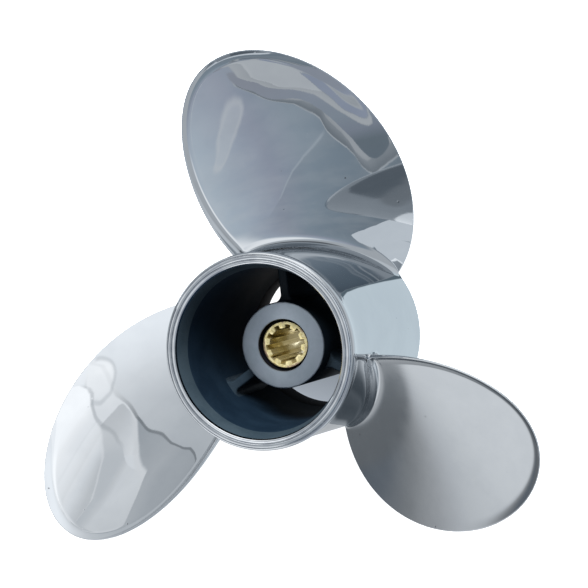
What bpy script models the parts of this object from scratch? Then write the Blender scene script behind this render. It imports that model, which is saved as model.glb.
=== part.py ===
# Outboard boat propeller with three blades and a through-hub exhaust barrel.
#
# +Z points aft along the propeller shaft. z = 0 is the barrel's front end face, on which the
# part stands. Blade 1 lies along +Y. Sizes below are in millimetres, and add_object turns
# them into metres.
import math

import bmesh
import bpy
from mathutils import Matrix

GAP = 0.3                   # clearance between pieces that touch on the real propeller

DIAMETER = 251.0            # across the blade tips, 9 7/8 in
PITCH = 330.2               # advance in one turn, 13 in
BLADES = 3

# Barrel outline as (z, radius): outside from front to aft, round the lip, bore from aft to
# front, and the front end face
BARREL_OUT = [(0.8, 41.5), (25.0, 41.4), (45.0, 41.0), (62.0, 40.7), (78.0, 40.5), (87.0, 40.6)]
BARREL_LIP = [(92.0, 41.0), (95.4, 41.5), (97.0, 41.1), (98.0, 40.2), (98.0, 37.3), (97.2, 36.4)]
BARREL_IN = [(89.0, 34.5), (60.0, 34.0), (30.0, 32.7), (0.8, 31.0)]
BARREL_FRONT = [(0.0, 31.8), (0.0, 40.7)]

# Inner hub: a tube with a thick aft wall
HUB_AFT_Z = 66.0
HUB_FRONT_Z = 6.0
HUB_AFT_R = 18.1
HUB_FRONT_R = 18.8
HUB_EDGE = 0.8              # chamfer of the outer rims
HUB_WALL = 6.0              # thickness of the aft wall
HUB_HOLE_R = 11.1           # hole in the aft wall
HOLE_EDGE = 0.4             # chamfer of that hole

# Rubber bushing and splined sleeve
RUBBER_R = 14.7
RUBBER_FRONT_Z = 13.0
SLEEVE_R = 10.0
SLEEVE_FRONT_Z = 7.0
SLEEVE_AFT_Z = 63.0
TEETH = 10
TOOTH_TIP_R = 7.1
GROOVE_R = 8.7
TIP_SHARE = 0.42            # share of the tooth pitch at the tooth tip
ROOT_SHARE = 0.55           # and at its root

# Ribs between the hub and the barrel
RIB_ANGLE = 109.0           # degrees from +X
RIB_AFT_Z = 56.5
RIB_FRONT_Z = 6.5
RIB_T = 4.0
RIB_FOOT = 3.0              # radius of the foot fillets
RIB_WALL_R = 34.0           # bore of the barrel at the ribs' aft end

# Blade outline along the helix. t runs from 0 at BLADE_R0 to 1 at the tip.
BLADE_R0 = 38.4
BLADE_Z0 = 36.9             # height of the reference line at BLADE_R0
RAKE = (0.251, 0.00041)     # its aft lean: linear and square terms
SWEEP = (15.0, 16.0, 8.0)   # arc from the reference line to mid-chord: terms in t, t^2, t^3
HALF_CHORD = (25.9, 62.7, -38.4, 12.2)      # half of the width along the arc, same terms from t^0
ROOT_T = 7.0                # greatest thickness at the root
TIP_T = 2.2                 # and at the tip
EDGE_T = 1.1                # thickness of the edges
FILLET = 4.0                # size of the fillet between blade and barrel
CUP_W = 6.0                 # width of the strip along the trailing edge that is turned aft
CUP_H = 1.5                 # and how far it is turned

SPIN_STEPS = 72
SECTIONS = 16               # rings of each blade from root to tip
SECTION_POINTS = 15         # points of each ring on each face


def clear():
    for ob in list(bpy.data.objects):
        bpy.data.objects.remove(ob, do_unlink=True)
    for me in list(bpy.data.meshes):
        bpy.data.meshes.remove(me)


def material(name, colour, metallic, roughness):
    mat = bpy.data.materials.new(name)
    mat.use_nodes = True
    node = next(n for n in mat.node_tree.nodes if n.type == "BSDF_PRINCIPLED")
    node.inputs["Base Color"].default_value = (*colour, 1.0)
    node.inputs["Metallic"].default_value = metallic
    node.inputs["Roughness"].default_value = roughness
    return mat


def add_object(name, bm, mat=None, crisp=35.0):
    """Turn a finished bmesh in mm into an object in metres, smooth except at crisp edges."""
    bmesh.ops.scale(bm, verts=bm.verts[:], vec=(0.001, 0.001, 0.001))
    bmesh.ops.recalc_face_normals(bm, faces=bm.faces[:])
    for face in bm.faces:
        face.smooth = True
    for edge in bm.edges:
        edge.smooth = edge.calc_face_angle(0.0) < math.radians(crisp)
    mesh = bpy.data.meshes.new(name)
    bm.to_mesh(mesh)
    bm.free()
    ob = bpy.data.objects.new(name, mesh)
    bpy.context.scene.collection.objects.link(ob)
    if mat is not None:
        mesh.materials.append(mat)
    return ob


def cutter(name, bm):
    ob = add_object(name, bm)
    ob.hide_render = True
    ob.display_type = "WIRE"
    return ob


def cut(ob, tool):
    mod = ob.modifiers.new(tool.name, "BOOLEAN")
    mod.operation = "DIFFERENCE"
    mod.solver = "EXACT"
    mod.object = tool


def ring_edges(bm, verts):
    return [bm.edges.new((a, b)) for a, b in zip(verts, verts[1:] + verts[:1])]


def turned(profile, steps=SPIN_STEPS):
    """Spin a closed (z, radius) outline once about the shaft axis."""
    bm = bmesh.new()
    verts = [bm.verts.new((r, 0.0, z)) for z, r in profile]
    bmesh.ops.spin(bm, geom=verts + ring_edges(bm, verts), cent=(0, 0, 0), axis=(0, 0, 1),
                   angle=2 * math.pi, steps=steps, use_merge=True)
    return bm


def raised(bm, height):
    """Extrude the flat faces of a bmesh upwards into a solid."""
    up = bmesh.ops.extrude_face_region(bm, geom=bm.faces[:])
    top = [g for g in up["geom"] if isinstance(g, bmesh.types.BMVert)]
    bmesh.ops.translate(bm, verts=top, vec=(0, 0, height))
    return bm


def blade_point(r, u, front):
    """A point of the blade at radius r, for a blade along +X.

    u runs from -1 at the leading edge to 1 at the trailing edge, and front picks the face that
    looks forward. The aft face, which drives the water, lies on the helix itself.
    """
    t = (r - BLADE_R0) / (DIAMETER / 2 - BLADE_R0)
    half = sum(a * t ** i for i, a in enumerate(HALF_CHORD)) * math.sqrt(max(0.0, 1 - t * t))
    lead = PITCH / (2 * math.pi)
    angle = (sum(b * t ** (i + 1) for i, b in enumerate(SWEEP)) + u * half) / r
    z = BLADE_Z0 + RAKE[0] * (r - BLADE_R0) + RAKE[1] * (r - BLADE_R0) ** 2 + lead * angle
    z += CUP_H * min(1.0, half / 20.0) * max(0.0, 1 - (1 - u) * half / CUP_W) ** 2

    # Thickness and root fillet are laid off square to the helix
    bulge = 1 - u * u
    off = FILLET * math.exp(-max(0.0, r - BARREL_OUT[0][1]) / (0.8 * FILLET)) * math.sqrt(bulge)
    if front:
        body = ROOT_T + (TIP_T - ROOT_T) * max(0.0, t) ** 0.8 - EDGE_T
        off = -off - EDGE_T * min(1.0, half / 4.0) - body * min(1.0, half / 12.0) * bulge ** 0.75
    slope = math.atan2(lead, r)
    z += off * math.cos(slope)
    angle -= off * math.sin(slope) / r
    return r * math.cos(angle), r * math.sin(angle), z


def blade(turn):
    """Bridge rings of points from inside the barrel out to the tip, and close both ends."""
    bm = bmesh.new()
    low, high = 37.0, DIAMETER / 2
    us = [-math.cos(math.pi * j / (SECTION_POINTS - 1)) for j in range(SECTION_POINTS)]
    rings, loops = [], []
    for i in range(SECTIONS):
        r = low + (high - low) * math.sin(0.4875 * math.pi * i / (SECTIONS - 1))
        points = [blade_point(r, u, False) for u in us] + [blade_point(r, u, True) for u in us[::-1]]
        rings.append([bm.verts.new(p) for p in points])
        loops.append(ring_edges(bm, rings[-1]))
    for inner, outer in zip(loops, loops[1:]):
        bmesh.ops.bridge_loops(bm, edges=inner + outer)
    bm.faces.new(rings[0])
    bm.faces.new(rings[-1])
    bmesh.ops.rotate(bm, verts=bm.verts[:], cent=(0, 0, 0), matrix=Matrix.Rotation(turn, 3, "Z"))
    return bm


def rib(turn):
    """A web from hub to barrel, with a concave foot at each end."""
    turns = [math.radians(15.0 * i) for i in range(7)]
    foot_y = RIB_T / 2 + RIB_FOOT
    hub_x, wall_x = HUB_AFT_R + RIB_FOOT, RIB_WALL_R - RIB_FOOT
    side = [(HUB_AFT_R - 3.0, foot_y)]
    side += [(hub_x - RIB_FOOT * math.cos(a), foot_y - RIB_FOOT * math.sin(a)) for a in turns]
    side += [(wall_x + RIB_FOOT * math.sin(a), foot_y - RIB_FOOT * math.cos(a)) for a in turns]
    side += [(RIB_WALL_R + 4.0, foot_y)]
    bm = bmesh.new()
    outline = side + [(x, -y) for x, y in reversed(side)]
    bm.faces.new([bm.verts.new((x, y, RIB_FRONT_Z)) for x, y in outline])
    raised(bm, RIB_AFT_Z - RIB_FRONT_Z)
    bmesh.ops.rotate(bm, verts=bm.verts[:], cent=(0, 0, 0), matrix=Matrix.Rotation(turn, 3, "Z"))
    return bm


def sleeve():
    """A flat ring with the teeth on its inside, raised along the shaft."""
    shares = ((-TIP_SHARE / 2, TOOTH_TIP_R), (TIP_SHARE / 2, TOOTH_TIP_R),
              (ROOT_SHARE / 2, GROOVE_R), (1 - ROOT_SHARE / 2, GROOVE_R))
    points = [(2 * math.pi * (i + share) / TEETH, r) for i in range(TEETH) for share, r in shares]
    bm = bmesh.new()
    inside = [bm.verts.new((r * math.cos(a), r * math.sin(a), SLEEVE_FRONT_Z)) for a, r in points]
    outside = [bm.verts.new((SLEEVE_R * math.cos(a), SLEEVE_R * math.sin(a), SLEEVE_FRONT_Z))
               for a, r in points]
    bmesh.ops.bridge_loops(bm, edges=ring_edges(bm, inside) + ring_edges(bm, outside))
    return raised(bm, SLEEVE_AFT_Z - SLEEVE_FRONT_Z)


clear()
STEEL = (0.62, 0.63, 0.65)

add_object("barrel", turned(BARREL_OUT + BARREL_LIP + BARREL_IN + BARREL_FRONT),
           material("barrel", STEEL, 1.0, 0.15))

# Cutters: the barrel's outside, its bore and the hub, each with the clearance added
barrel_cut = cutter("barrel_cut", turned(
    [(-30.0, 20.0), (-30.0, BARREL_OUT[0][1] + GAP)] + [(z, r + GAP) for z, r in BARREL_OUT]
    + [(130.0, BARREL_OUT[-1][1] + GAP), (130.0, 20.0)]))
bore_cut = cutter("bore_cut", turned(
    [(-30.0, 60.0), (-30.0, BARREL_IN[-1][1] - GAP)] + [(z, r - GAP) for z, r in BARREL_IN[::-1]]
    + [(130.0, BARREL_IN[0][1] - GAP), (130.0, 60.0)]))
hub_cut = cutter("hub_cut", turned([
    (-30.0, 1.0), (-30.0, HUB_FRONT_R + GAP), (HUB_FRONT_Z, HUB_FRONT_R + GAP),
    (HUB_AFT_Z, HUB_AFT_R + GAP), (130.0, HUB_AFT_R + GAP), (130.0, 1.0)]))

for i in range(BLADES):
    name = "blade_%d" % (i + 1)
    turn = 2 * math.pi * i / BLADES
    cut(add_object(name, blade(turn + math.pi / 2), material(name, STEEL, 1.0, 0.15)), barrel_cut)
    name = "rib_%d" % (i + 1)
    web = add_object(name, rib(turn + math.radians(RIB_ANGLE)), material(name, STEEL, 1.0, 0.5))
    cut(web, bore_cut)
    cut(web, hub_cut)

bore_r = RUBBER_R + GAP
add_object("inner_hub", turned([
    (HUB_FRONT_Z, bore_r + HUB_EDGE), (HUB_FRONT_Z, HUB_FRONT_R - HUB_EDGE),
    (HUB_FRONT_Z + HUB_EDGE, HUB_FRONT_R), (HUB_AFT_Z - HUB_EDGE, HUB_AFT_R),
    (HUB_AFT_Z, HUB_AFT_R - HUB_EDGE), (HUB_AFT_Z, HUB_HOLE_R + HOLE_EDGE),
    (HUB_AFT_Z - HOLE_EDGE, HUB_HOLE_R), (HUB_AFT_Z - HUB_WALL, HUB_HOLE_R),
    (HUB_AFT_Z - HUB_WALL, bore_r), (HUB_FRONT_Z + HUB_EDGE, bore_r)], 48),
    material("inner_hub", STEEL, 1.0, 0.3))

rubber_aft_z = HUB_AFT_Z - HUB_WALL - GAP
add_object("rubber_bushing", turned([
    (RUBBER_FRONT_Z, SLEEVE_R + GAP), (RUBBER_FRONT_Z, RUBBER_R), (rubber_aft_z, RUBBER_R),
    (rubber_aft_z, SLEEVE_R + GAP)], 48), material("rubber_bushing", (0.03, 0.03, 0.03), 0.0, 0.7))

add_object("spline_sleeve", sleeve(), material("spline_sleeve", (0.62, 0.50, 0.24), 1.0, 0.3), 20.0)
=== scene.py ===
# %% [markdown]
# # A stainless outboard propeller
#
# The photograph shows a small outboard motor's propeller from behind the boat: three mirror
# polished blades on a round barrel, and a splined brass sleeve in a hub inside it. The packed
# solids have the right sizes but plain finishes. They are the frame here. Each one is replaced
# by a piece of the same size with its rounded rims, root fillets and polished metal.

# %% Frame and libraries
from math import acos, atan2, copysign, cos, hypot, pi, radians, sin, sqrt

import bmesh
import bpy
from mathutils import Matrix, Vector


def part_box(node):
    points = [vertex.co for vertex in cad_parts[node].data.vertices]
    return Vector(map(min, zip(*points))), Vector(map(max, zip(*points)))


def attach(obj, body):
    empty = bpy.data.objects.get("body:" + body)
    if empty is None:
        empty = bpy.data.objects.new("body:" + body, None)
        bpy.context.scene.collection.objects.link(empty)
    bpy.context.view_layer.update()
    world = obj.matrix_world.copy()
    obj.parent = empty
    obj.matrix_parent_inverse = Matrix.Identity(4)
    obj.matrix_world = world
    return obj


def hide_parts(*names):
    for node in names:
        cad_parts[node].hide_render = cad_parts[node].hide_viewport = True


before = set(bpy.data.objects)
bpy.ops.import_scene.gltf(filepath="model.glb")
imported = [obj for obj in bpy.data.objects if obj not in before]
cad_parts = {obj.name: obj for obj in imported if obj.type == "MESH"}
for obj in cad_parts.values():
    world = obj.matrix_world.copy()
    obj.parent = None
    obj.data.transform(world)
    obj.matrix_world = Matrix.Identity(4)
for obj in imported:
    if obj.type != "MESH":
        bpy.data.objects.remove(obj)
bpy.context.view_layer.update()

print("CAD nodes:", ", ".join(sorted(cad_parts)))

# %% [markdown]
# A propeller is drawn in millimetres, so the script works in millimetres and scales each
# finished mesh to metres once. Z is the shaft's axis and points aft, towards the camera. The
# barrel stands on z = 0 with its front end down.

# %% Measures from the frame
MM = 0.001
BARREL_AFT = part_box("barrel")[1].z / MM
HUB_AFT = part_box("inner_hub")[1].z / MM
HUB_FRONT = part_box("inner_hub")[0].z / MM
SLEEVE_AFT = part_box("spline_sleeve")[1].z / MM
SLEEVE_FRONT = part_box("spline_sleeve")[0].z / MM
print("aft ends: barrel", round(BARREL_AFT, 2), "hub", round(HUB_AFT, 2), "sleeve", round(SLEEVE_AFT, 2))

# %% [markdown]
# Every piece leaves its bmesh in the same way: scaled to metres, with its faces outwards,
# smooth shading except across edges that are really sharp, tied to the frame's one body, and
# named as the piece that stands for a CAD node.

# %% From millimetres to a piece on the frame
def place_object(name, data):
    item = bpy.data.objects.new(name, data)
    bpy.context.scene.collection.objects.link(item)
    return item


def mesh_object(bm, name, materials):
    mesh = bpy.data.meshes.new(name)
    bm.to_mesh(mesh)
    bm.free()
    for material in materials:
        mesh.materials.append(material)
    return place_object(name, mesh)


def make_piece(bm, name, node, materials, crisp=35.0):
    bmesh.ops.scale(bm, verts=bm.verts[:], vec=(MM, MM, MM))
    bmesh.ops.recalc_face_normals(bm, faces=bm.faces[:])
    for face in bm.faces:
        face.smooth = True
    for edge in bm.edges:
        edge.smooth = edge.calc_face_angle(0.0) < radians(crisp)
    piece = mesh_object(bm, name, materials)
    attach(piece, "root")
    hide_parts(node)
    print(name, "has", sum(len(p.vertices) - 2 for p in piece.data.polygons), "triangles")

# %% [markdown]
# Half of this propeller is turned on a lathe, so one helper spins a closed outline about the
# shaft. The outline is a list of (z, radius) points. The last step of a full spin lands on the
# first, which is why spin is asked to merge. The other helpers extrude along the shaft, turn a
# piece to its place round it, and round the edges that a rule picks.

# %% Turning, extruding and rounding
def turned(profile, steps):
    bm = bmesh.new()
    verts = [bm.verts.new((r, 0.0, z)) for z, r in profile]
    edges = [bm.edges.new(pair) for pair in zip(verts, verts[1:] + verts[:1])]
    bmesh.ops.spin(bm, geom=verts + edges, cent=(0, 0, 0), axis=(0, 0, 1),
                   angle=2 * pi, steps=steps, use_merge=True)
    bmesh.ops.recalc_face_normals(bm, faces=bm.faces[:])
    return bm


def extrude(bm, faces, height):
    """The faces stay where they are as the front end."""
    aft = bmesh.ops.extrude_face_region(bm, geom=faces, use_keep_orig=True)["geom"]
    bmesh.ops.translate(bm, verts=[v for v in aft if isinstance(v, bmesh.types.BMVert)], vec=(0, 0, height))


def turn_to(bm, degrees):
    bmesh.ops.rotate(bm, verts=bm.verts[:], matrix=Matrix.Rotation(radians(degrees), 3, "Z"))


def face_place(face):
    """Height and distance from the shaft of a face's middle."""
    centre = face.calc_center_median()
    return centre.z, hypot(centre.x, centre.y)


def round_edges(bm, size, segments, chosen):
    edges = [edge for edge in bm.edges if chosen(edge)]
    bmesh.ops.bevel(bm, geom=edges, offset=size, offset_type="OFFSET", segments=segments,
                    profile=0.5, affect="EDGES", clamp_overlap=True, material=-1)


def is_ring(edge, z, r):
    """True for the edges of the turned ring at this height and radius."""
    return all(abs(v.co.z - z) < 0.02 and abs(hypot(v.co.x, v.co.y) - r) < 0.02 for v in edge.verts)

# %% [markdown]
# Finishes and the studio are both trees of shader nodes. A few short helpers keep them
# readable: `put` adds a node and joins its inputs in order, `calc` and `product` do arithmetic,
# `fit` makes a soft step between two values, `blend` mixes two colours, and `ramp` turns a number
# into a colour by named stops.

# %% Helpers for node trees
def join(tree, value, socket):
    if isinstance(value, bpy.types.NodeSocket):
        tree.links.new(value, socket)
    elif value is not None:
        socket.default_value = (*value, 1) if socket.type == "RGBA" and len(value) == 3 else value


def put(tree, kind, *values, out=0, **settings):
    node = tree.nodes.new("ShaderNode" + kind)
    for key, value in settings.items():
        setattr(node, key, value)
    for socket, value in zip([s for s in node.inputs if s.enabled], values):
        join(tree, value, socket)
    return [s for s in node.outputs if s.enabled][out]


def calc(tree, operation, *values):
    return put(tree, "Math", *values, operation=operation)


def product(tree, *values):
    result = values[0]
    for value in values[1:]:
        result = calc(tree, "MULTIPLY", result, value)
    return result


def count(name, tree):
    print(name, "has", len(tree.nodes), "nodes")


def xyz(tree, vector):
    node = tree.nodes.new("ShaderNodeSeparateXYZ")
    tree.links.new(vector, node.inputs[0])
    return node.outputs


def place_on(tree):
    """The point on the piece in metres: a TexCoord node's Object output."""
    return put(tree, "TexCoord", out=3)


def fit(tree, value, low, high, to_low=0.0, to_high=1.0, kind="SMOOTHSTEP"):
    return put(tree, "MapRange", value, low, high, to_low, to_high, interpolation_type=kind)


def blend(tree, share, first, second):
    return put(tree, "Mix", share, first, second, data_type="RGBA")


def ramp(tree, value, stops):
    """Stops are (value, colour) pairs, lowest value first."""
    low, high = stops[0][0], stops[-1][0]
    node = tree.nodes.new("ShaderNodeValToRGB")
    tree.links.new(fit(tree, value, low, high, kind="LINEAR"), node.inputs[0])
    elements = node.color_ramp.elements
    while len(elements) < len(stops):
        elements.new(0.5)
    for element, (at, colour) in zip(elements, stops):
        element.position = (at - low) / (high - low)
        element.color = (*colour, 1)
    return node.outputs[0]

# %% [markdown]
# A finish that several materials share is built once as a node group with named inputs and
# outputs, and each material places it with its own values.

# %% Helpers for shared finishes
def new_group(name, inputs, outputs):
    group = bpy.data.node_groups.new(name, "ShaderNodeTree")
    for kind, sockets in (("INPUT", inputs), ("OUTPUT", outputs)):
        for label in sockets:
            group.interface.new_socket(label, in_out=kind, socket_type="NodeSocketFloat")
    return group, group.nodes.new("NodeGroupInput").outputs, group.nodes.new("NodeGroupOutput").inputs


def use(tree, group, **values):
    node = tree.nodes.new("ShaderNodeGroup")
    node.node_tree = group
    for name, value in values.items():
        join(tree, value, node.inputs[name])
    return node.outputs


def new_material(name, **settings):
    material = bpy.data.materials.new(name)
    material.use_nodes = True
    shader = material.node_tree.nodes["Principled BSDF"]
    for key, value in settings.items():
        join(material.node_tree, value, shader.inputs[key.replace("_", " ")])
    return material, material.node_tree, shader.inputs


def add_bump(tree, height, socket, distance=0.001):
    """Heights are in millimetres, so one unit stands for 1 mm."""
    bump = tree.nodes.new("ShaderNodeBump")
    bump.inputs["Distance"].default_value = distance
    tree.links.new(height, bump.inputs["Height"])
    tree.links.new(bump.outputs[0], socket["Normal"])


def round_shaft(tree):
    """Angle about the shaft, distance from it, and height, all from Object coordinates."""
    x, y, z = xyz(tree, place_on(tree))
    radius = calc(tree, "SQRT", calc(tree, "ADD", product(tree, x, x), product(tree, y, y)))
    return calc(tree, "ARCTAN2", y, x), radius, z

# %% [markdown]
# The blades are cast, ground and then buffed by hand on soft wheels. The wheel leaves the
# surface very slightly wavy, which is what bends the reflections in the photograph, and it
# leaves hair lines that run from root to tip. The group gives a height for both, a roughness
# that changes in slow clouds, and a mask of small dark pits where the casting shows through.

# %% Shared finish: hand polish
polish, given, made = new_group("hand_polish", ["Waves", "Hair lines", "Pits"],
                                ["Height", "Cloud", "Pit mask"])
place = place_on(polish)
angle, radius, z = round_shaft(polish)
wave = put(polish, "TexNoise", place, 30, 1, 0.4)
cloud = put(polish, "TexNoise", place, 55, 3, 0.6)
hair_way = put(polish, "CombineXYZ", product(polish, angle, 150),
    product(polish, radius, 60), product(polish, z, 100))
hair = put(polish, "TexNoise", hair_way, 1, 2, 0.7)
pit = fit(polish, put(polish, "TexVoronoi", place, 170), 0.10, 0.02)
rare = fit(polish, put(polish, "TexNoise", place, 140, 0, 0), 0.60, 0.66)
pit_mask = product(polish, pit, rare, given["Pits"])
height = product(polish, wave, given["Waves"])
height = calc(polish, "ADD", height, product(polish, hair, given["Hair lines"]))
polish.links.new(calc(polish, "SUBTRACT", height, product(polish, pit_mask, 0.05)), made["Height"])
polish.links.new(cloud, made["Cloud"])
polish.links.new(pit_mask, made["Pit mask"])
count("hand_polish", polish)

# %% [markdown]
# A lathe leaves fine rings about the shaft. This group reads the distance from the shaft, so
# the rings stay round on every piece, and a slow noise changes their depth along the way as a
# worn tool does.

# %% Shared finish: turned rings
rings, given, made = new_group("turned_rings", ["Pitch", "Depth"], ["Height", "Cloud"])
angle, radius, z = round_shaft(rings)
ring_way = put(rings, "CombineXYZ", calc(rings, "DIVIDE", radius, given["Pitch"]),
    product(rings, angle, 0.6), calc(rings, "DIVIDE", z, given["Pitch"]))
ring = put(rings, "TexNoise", ring_way, 1, 2, 0.6)
rings.links.new(product(rings, ring, given["Depth"]), made["Height"])
rings.links.new(put(rings, "TexNoise", place_on(rings), 160, 3, 0.6), made["Cloud"])
count("turned_rings", rings)

# %% [markdown]
# Blades 1 and 2 and the outside of the barrel are mirrors. Blade 3 is a little duller in the
# photograph, with hair lines that can be seen, so it has the same finish with other values.

# %% Polished steel
def polished_steel(name, waves, hair_lines, pits, rough_low, rough_high):
    material, tree, socket = new_material(name, Metallic=1)
    made = use(tree, polish, **{"Waves": waves, "Hair lines": hair_lines, "Pits": pits})
    steel = blend(tree, fit(tree, made["Cloud"], 0.35, 0.65), (0.545, 0.565, 0.587), (0.572, 0.592, 0.612))
    steel = blend(tree, made["Pit mask"], steel, (0.06, 0.06, 0.07))
    join(tree, steel, socket["Base Color"])
    join(tree, fit(tree, made["Cloud"], 0.3, 0.7, rough_low, rough_high), socket["Roughness"])
    add_bump(tree, made["Height"], socket)
    return material


mirror_steel = polished_steel("mirror_steel", 0.08, 0.0006, 0.8, 0.01, 0.035)
satin_steel = polished_steel("satin_steel", 0.08, 0.007, 1, 0.08, 0.14)
print("made", mirror_steel.name, "and", satin_steel.name)

# %% [markdown]
# The aft lip and the hub's end face are turned. The lip has coarse grooves as real shapes and
# only fine rings in its finish. The hub's face has finer rings, and light on such rings
# spreads across them, which gives the two bright fans above and below the hole. An anisotropic
# gloss does that: its tangent runs round the shaft.

# %% Turned steel
def turned_steel(name, colour_low, colour_high, pitch, depth, rough_low, rough_high):
    material, tree, socket = new_material(name, Metallic=1)
    made = use(tree, rings, Pitch=pitch, Depth=depth)
    join(tree, blend(tree, fit(tree, made["Cloud"], 0.35, 0.65), colour_low, colour_high),
        socket["Base Color"])
    join(tree, fit(tree, made["Cloud"], 0.3, 0.7, rough_low, rough_high), socket["Roughness"])
    add_bump(tree, made["Height"], socket)
    return material, tree, socket


lip_steel, tree, socket = turned_steel("lip_steel", (0.56, 0.58, 0.61), (0.66, 0.68, 0.70),
                                       0.22 * MM, 0.003, 0.03, 0.08)
face_steel, tree, socket = turned_steel("face_steel", (0.36, 0.41, 0.46), (0.42, 0.47, 0.53),
                                        0.6 * MM, 0.004, 0.34, 0.42)
socket["Anisotropic"].default_value = 0.9
socket["Anisotropic Rotation"].default_value = 0.25
join(tree, put(tree, "Tangent", direction_type="RADIAL", axis="Z"), socket["Tangent"])
print("made", lip_steel.name, "and", face_steel.name)

# %% [markdown]
# Inside, the steel is as it came from the casting shell: blue black and dull, with a fine grain, and its
# colour is darkened further as painted shade of the deep bore. The band behind the lip has been bored clean
# and is a little greyer. The first few millimetres at the front end are painted near black as painted
# shade, because that part of the bore lies in deep shadow. All of them have the same slow patches and the
# same grain, so these are a group too.

# %% Shared finish: cast skin
cast, given, made = new_group("cast_skin", ["Grain"], ["Height", "Patches"])
place = place_on(cast)
grain = put(cast, "TexNoise", place, 900, 2, 0.6)
cast.links.new(product(cast, grain, given["Grain"]), made["Height"])
cast.links.new(fit(cast, put(cast, "TexNoise", place, 60, 3, 0.6), 0.35, 0.65), made["Patches"])
count("cast_skin", cast)

# %% [markdown]
# Each dull finish gives the group its own grain and two colours to blend by the patches. The
# gloss is kept low, because rough steel in the shade has almost none. The rubber bushing has
# the same sort of skin from its mould.

# %% Cast steel and rubber
def dull_skin(name, dark, light, grain, rough, gloss):
    material, tree, socket = new_material(name, Metallic=0, Roughness=rough)
    socket["Specular IOR Level"].default_value = gloss
    made = use(tree, cast, Grain=grain)
    join(tree, blend(tree, made["Patches"], dark, light), socket["Base Color"])
    add_bump(tree, made["Height"], socket)
    return material


# The bore's blue black is partly its dark cast skin and partly painted shade of the deep bore.
bore_cast = dull_skin("bore_cast", (0.0043, 0.0095, 0.0170), (0.0065, 0.0135, 0.0230), 0.04, 0.65, 0.04)
rib_cast = dull_skin("rib_cast", (0.009, 0.015, 0.022), (0.014, 0.022, 0.030), 0.05, 0.55, 0.15)
# The band behind the lip, a little greyer than the bore.
grey_band = dull_skin("grey_band_skin", (0.015, 0.024, 0.032), (0.022, 0.033, 0.042), 0.01, 0.5, 0.10)
# Near black painted shade for the front end of the bore and the hole in the hub.
painted_shade = dull_skin("painted_shade_black", (0.003, 0.003, 0.005), (0.006, 0.006, 0.008), 0.04, 0.8, 0.05)
rubber = dull_skin("rubber", (0.010, 0.010, 0.011), (0.018, 0.018, 0.019), 0.06, 0.75, 0.3)
print("made", ", ".join(m.name for m in (bore_cast, rib_cast, grey_band, painted_shade, rubber)))

# %% [markdown]
# The sleeve is broached brass. The broach leaves straight marks along the shaft, so its height comes from a
# noise that is long in Z. The crests of the teeth down in the hole are a darker brass, and old grease has
# browned parts of the end ring.

# %% Brass
brass, tree, socket = new_material("brass", Metallic=0.8)
angle, radius, z = round_shaft(tree)
marks_way = put(tree, "CombineXYZ", product(tree, angle, 9),
    product(tree, radius, 500), product(tree, z, 12))
marks = put(tree, "TexNoise", marks_way, 1, 3, 0.6)
stain = put(tree, "TexNoise", place_on(tree), 190, 3, 0.65)
streak = fit(tree, marks, 0.35, 0.65)
bright = blend(tree, streak, (0.62, 0.52, 0.24), (0.80, 0.70, 0.40))
darker_brass = blend(tree, streak, (0.46, 0.39, 0.18), (0.58, 0.50, 0.25))
below_end = fit(tree, z, (SLEEVE_AFT - 0.4) * MM, (SLEEVE_AFT - 1) * MM)
inside_teeth = product(tree, fit(tree, radius, 7.8 * MM, 7.4 * MM), below_end)
brown = product(tree, fit(tree, stain, 0.48, 0.62), fit(tree, radius, 8.8 * MM, 9.4 * MM))
tone = blend(tree, inside_teeth, bright, darker_brass)
join(tree, blend(tree, brown, tone, (0.34, 0.24, 0.17)), socket["Base Color"])
join(tree, fit(tree, stain, 0.4, 0.7, 0.12, 0.26), socket["Roughness"])
add_bump(tree, product(tree, marks, 0.003), socket)
count("brass", tree)

# %% [markdown]
# The barrel is one turned shell. Its outside is a slow curve with a flared lip at the aft end.
# The lip is the part that the eye lands on: a rounded rim, a step, a flat with a groove cut in
# it, and a chamfer into the bore. All of them are points of the outline, so one spin makes
# them. Each face then takes its finish from where it sits.

# %% Barrel
BARREL_OUT = [(0.8, 41.5), (25, 41.4), (45, 41), (62, 40.7), (78, 40.5), (87, 40.6)]
LIP = [(90.5, 40.8), (93, 41.15), (94.8, 41.45), (95.7, 41.5), (96.5, 41.35), (97.05, 41), (97.2, 40.6),
    (96.9, 40.45), (97, 40.25), (97.75, 40.05), (97.95, 39.75), (98, 39.4), (98, 38.9), (97.9, 38.65),
    (97.35, 38.4), (97.35, 38.15), (97.9, 37.95), (98, 37.7), (98, 37.2), (97.85, 36.85), (97.3, 36.5)]
BORE = [(97, 36.35), (89, 34.5), (88, 34.42), (60, 34), (30, 32.7), (14.2, 31.65), (13.8, 31.5),
    (1.4, 30.95), (0.8, 31.1), (0, 31.8), (0, 40.7)]


def along(profile, z):
    """Radius of a profile at height z, between its points."""
    points = sorted(profile)
    for (z0, r0), (z1, r1) in zip(points, points[1:]):
        if z <= z1:
            return r0 + (r1 - r0) * max(0, z - z0) / (z1 - z0)
    return points[-1][1]


BORE_R, CHAMFER_R, LIP_R = 34.55, 36.36, 40.7
FRONT_Z, SHADE_Z, BAND_Z, LIP_Z = 1, 14, 80, 96.85
TURNED, CAST, GREY_BAND, SHADE_BLACK = 1, 2, 3, 4
bm = turned(BARREL_OUT + LIP + BORE, 192)
# Bore faces in the first 14 mm behind the front end get the near black painted shade.
for face in bm.faces:
    z, radius = face_place(face)
    if radius < BORE_R and z > FRONT_Z:
        face.material_index = CAST if z > SHADE_Z else SHADE_BLACK
    elif radius < CHAMFER_R and z > BAND_Z:
        face.material_index = GREY_BAND
    elif z > LIP_Z and radius < LIP_R:
        face.material_index = TURNED
make_piece(bm, "barrel_shell", "barrel", [mirror_steel, lip_steel, bore_cast, grey_band, painted_shade], 22)

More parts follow.
